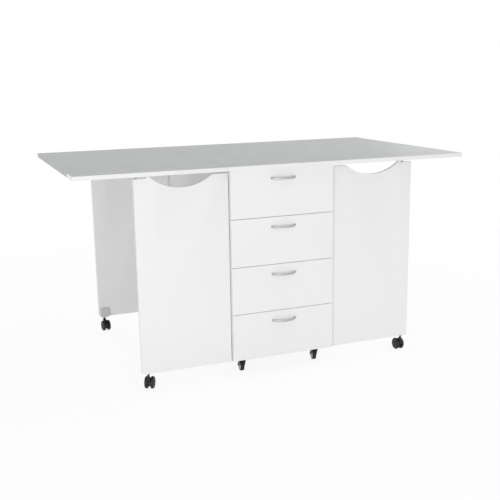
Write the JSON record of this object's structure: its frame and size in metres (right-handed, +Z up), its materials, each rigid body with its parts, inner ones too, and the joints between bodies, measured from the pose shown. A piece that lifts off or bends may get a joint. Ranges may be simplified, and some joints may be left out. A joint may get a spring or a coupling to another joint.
{
  "type": "folding sewing cutting table",
  "caption": "Rolling cutting table: a drawer cabinet under a top with hinged leaves, which scooped swing-out gates on their own castors carry.",
  "frame": {"origin": "on the floor under the middle of the open table", "axes": "+X right along the drawer side, +Y to the back, +Z up; the drawers open towards -Y"},
  "size_m": [1.6, 0.906, 0.835],
  "materials": {
    "white_board": "white melamine-faced board, matt, with matching edge band",
    "top_laminate": "pale grey laminate, matt, fine texture, white edge band",
    "drawer_board": "white melamine-faced board, matt",
    "block_board": "light grey edge-sealed board",
    "hinge_steel": "zinc-plated steel, satin",
    "runner_steel": "white powder-coated steel, satin",
    "satin_nickel": "brushed nickel, satin",
    "castor_metal": "black painted steel, satin",
    "castor_black": "black nylon, satin",
    "grey_plastic": "mid grey moulded plastic, satin",
    "castor_tyre": "black rubber tyre on a light grey core, matt"
  },
  "bodies": {
    "cabinet": {"side_panel_left": "white_board", "side_panel_right": "white_board", "bottom_panel": "white_board", "back_panel": "white_board", "top_rails": "white_board", "centre_top": "top_laminate", "leaf_hinge_fixed_plates": "hinge_steel", "gate_hinge_fixed_leaves": "hinge_steel", "cabinet_castor_plates": "castor_metal", "cabinet_runners": "runner_steel"},
    "left_leaf": {"leaf_left": "top_laminate", "leaf_hinge_plates_left": "hinge_steel", "gate_stops_left": "grey_plastic"},
    "right_leaf": {"leaf_right": "top_laminate", "leaf_hinge_plates_right": "hinge_steel", "gate_stops_right": "grey_plastic"},
    "front_left_gate": {"gate_front_left": "white_board", "gate_block_front_left": "block_board", "gate_hinge_leaves_front_left": "hinge_steel"},
    "front_left_gate_castor": {"gate_castor_front_left": "castor_black"},
    "front_left_gate_wheels": {"gate_wheels_front_left": "castor_black"},
    "front_right_gate": {"gate_front_right": "white_board", "gate_block_front_right": "block_board", "gate_hinge_leaves_front_right": "hinge_steel"},
    "front_right_gate_castor": {"gate_castor_front_right": "castor_black"},
    "front_right_gate_wheels": {"gate_wheels_front_right": "castor_black"},
    "rear_left_gate": {"gate_rear_left": "white_board", "gate_block_rear_left": "block_board", "gate_hinge_leaves_rear_left": "hinge_steel"},
    "rear_left_gate_castor": {"gate_castor_rear_left": "castor_black"},
    "rear_left_gate_wheels": {"gate_wheels_rear_left": "castor_black"},
    "rear_right_gate": {"gate_rear_right": "white_board", "gate_block_rear_right": "block_board", "gate_hinge_leaves_rear_right": "hinge_steel"},
    "rear_right_gate_castor": {"gate_castor_rear_right": "castor_black"},
    "rear_right_gate_wheels": {"gate_wheels_rear_right": "castor_black"},
    "drawer_1": {"drawer_1_front": "white_board", "drawer_1_box": "drawer_board", "drawer_1_handle": "satin_nickel", "drawer_1_runners": "runner_steel"},
    "drawer_2": {"drawer_2_front": "white_board", "drawer_2_box": "drawer_board", "drawer_2_handle": "satin_nickel", "drawer_2_runners": "runner_steel"},
    "drawer_3": {"drawer_3_front": "white_board", "drawer_3_box": "drawer_board", "drawer_3_handle": "satin_nickel", "drawer_3_runners": "runner_steel"},
    "drawer_4": {"drawer_4_front": "white_board", "drawer_4_box": "drawer_board", "drawer_4_handle": "satin_nickel", "drawer_4_runners": "runner_steel"},
    "front_left_castor": {"cabinet_castor_front_left": "castor_metal"},
    "front_left_wheel": {"cabinet_wheel_front_left": "castor_tyre"},
    "front_right_castor": {"cabinet_castor_front_right": "castor_metal"},
    "front_right_wheel": {"cabinet_wheel_front_right": "castor_tyre"},
    "rear_left_castor": {"cabinet_castor_rear_left": "castor_metal"},
    "rear_left_wheel": {"cabinet_wheel_rear_left": "castor_tyre"},
    "rear_right_castor": {"cabinet_castor_rear_right": "castor_metal"},
    "rear_right_wheel": {"cabinet_wheel_rear_right": "castor_tyre"}
  },
  "joints": [
    {"name": "left_leaf_lift", "type": "hinge", "parent": "cabinet", "child": "left_leaf", "pos_m": [-0.2315, 0, 0.815], "axis": [0, 1, 0], "range_deg": [0, 2.5]},
    {"name": "right_leaf_lift", "type": "hinge", "parent": "cabinet", "child": "right_leaf", "pos_m": [0.2315, 0, 0.815], "axis": [0, -1, 0], "range_deg": [0, 2.5]},
    {"name": "front_left_gate_swing", "type": "hinge", "parent": "cabinet", "child": "front_left_gate", "pos_m": [-0.217, -0.394, 0.44], "axis": [0, 0, -1], "range_deg": [0, 90]},
    {"name": "front_left_gate_castor_swivel", "type": "hinge", "parent": "front_left_gate", "child": "front_left_gate_castor", "pos_m": [-0.553, -0.403, 0.06], "axis": [0, 0, 1], "continuous": true},
    {"name": "front_left_gate_wheels_spin", "type": "hinge", "parent": "front_left_gate_castor", "child": "front_left_gate_wheels", "pos_m": [-0.54502, -0.38799, 0.024], "axis": [-0.8829, 0.4695, 0], "continuous": true},
    {"name": "front_right_gate_swing", "type": "hinge", "parent": "cabinet", "child": "front_right_gate", "pos_m": [0.217, -0.394, 0.44], "axis": [0, 0, 1], "range_deg": [0, 90]},
    {"name": "front_right_gate_castor_swivel", "type": "hinge", "parent": "front_right_gate", "child": "front_right_gate_castor", "pos_m": [0.553, -0.403, 0.06], "axis": [0, 0, 1], "continuous": true},
    {"name": "front_right_gate_wheels_spin", "type": "hinge", "parent": "front_right_gate_castor", "child": "front_right_gate_wheels", "pos_m": [0.5533, -0.386, 0.024], "axis": [-0.9998, 0.0175, 0], "continuous": true},
    {"name": "rear_left_gate_swing", "type": "hinge", "parent": "cabinet", "child": "rear_left_gate", "pos_m": [-0.217, 0.394, 0.44], "axis": [0, 0, 1], "range_deg": [0, 90]},
    {"name": "rear_left_gate_castor_swivel", "type": "hinge", "parent": "rear_left_gate", "child": "rear_left_gate_castor", "pos_m": [-0.553, 0.403, 0.06], "axis": [0, 0, 1], "continuous": true},
    {"name": "rear_left_gate_wheels_spin", "type": "hinge", "parent": "rear_left_gate_castor", "child": "rear_left_gate_wheels", "pos_m": [-0.55122, 0.38609, 0.024], "axis": [0.9945, 0.1045, 0], "continuous": true},
    {"name": "rear_right_gate_swing", "type": "hinge", "parent": "cabinet", "child": "rear_right_gate", "pos_m": [0.217, 0.394, 0.44], "axis": [0, 0, -1], "range_deg": [0, 90]},
    {"name": "rear_right_gate_castor_swivel", "type": "hinge", "parent": "rear_right_gate", "child": "rear_right_gate_castor", "pos_m": [0.553, 0.403, 0.06], "axis": [0, 0, 1], "continuous": true},
    {"name": "rear_right_gate_wheels_spin", "type": "hinge", "parent": "rear_right_gate_castor", "child": "rear_right_gate_wheels", "pos_m": [0.55595, 0.41974, 0.024], "axis": [-0.9848, 0.1736, 0], "continuous": true},
    {"name": "drawer_1_slide", "type": "slide", "parent": "cabinet", "child": "drawer_1", "axis": [0, -1, 0], "range_m": [0, 0.4]},
    {"name": "drawer_2_slide", "type": "slide", "parent": "cabinet", "child": "drawer_2", "axis": [0, -1, 0], "range_m": [0, 0.4]},
    {"name": "drawer_3_slide", "type": "slide", "parent": "cabinet", "child": "drawer_3", "axis": [0, -1, 0], "range_m": [0, 0.4]},
    {"name": "drawer_4_slide", "type": "slide", "parent": "cabinet", "child": "drawer_4", "axis": [0, -1, 0], "range_m": [0, 0.4]},
    {"name": "front_left_castor_swivel", "type": "hinge", "parent": "cabinet", "child": "front_left_castor", "pos_m": [-0.16, -0.374, 0.06], "axis": [0, 0, 1], "continuous": true},
    {"name": "front_left_wheel_spin", "type": "hinge", "parent": "front_left_castor", "child": "front_left_wheel", "pos_m": [-0.1569, -0.35323, 0.025], "axis": [-0.989, 0.1478, 0], "continuous": true},
    {"name": "front_right_castor_swivel", "type": "hinge", "parent": "cabinet", "child": "front_right_castor", "pos_m": [0.16, -0.374, 0.06], "axis": [0, 0, 1], "continuous": true},
    {"name": "front_right_wheel_spin", "type": "hinge", "parent": "front_right_castor", "child": "front_right_wheel", "pos_m": [0.16451, -0.35349, 0.025], "axis": [-0.9767, 0.2147, 0], "continuous": true},
    {"name": "rear_left_castor_swivel", "type": "hinge", "parent": "cabinet", "child": "rear_left_castor", "pos_m": [-0.16, 0.374, 0.06], "axis": [0, 0, 1], "continuous": true},
    {"name": "rear_left_wheel_spin", "type": "hinge", "parent": "rear_left_castor", "child": "rear_left_wheel", "pos_m": [-0.15635, 0.39468, 0.025], "axis": [-0.9848, 0.1736, 0], "continuous": true},
    {"name": "rear_right_castor_swivel", "type": "hinge", "parent": "cabinet", "child": "rear_right_castor", "pos_m": [0.16, 0.374, 0.06], "axis": [0, 0, 1], "continuous": true},
    {"name": "rear_right_wheel_spin", "type": "hinge", "parent": "rear_right_castor", "child": "rear_right_wheel", "pos_m": [0.16401, 0.39461, 0.025], "axis": [-0.9816, 0.1908, 0], "continuous": true}
  ]
}
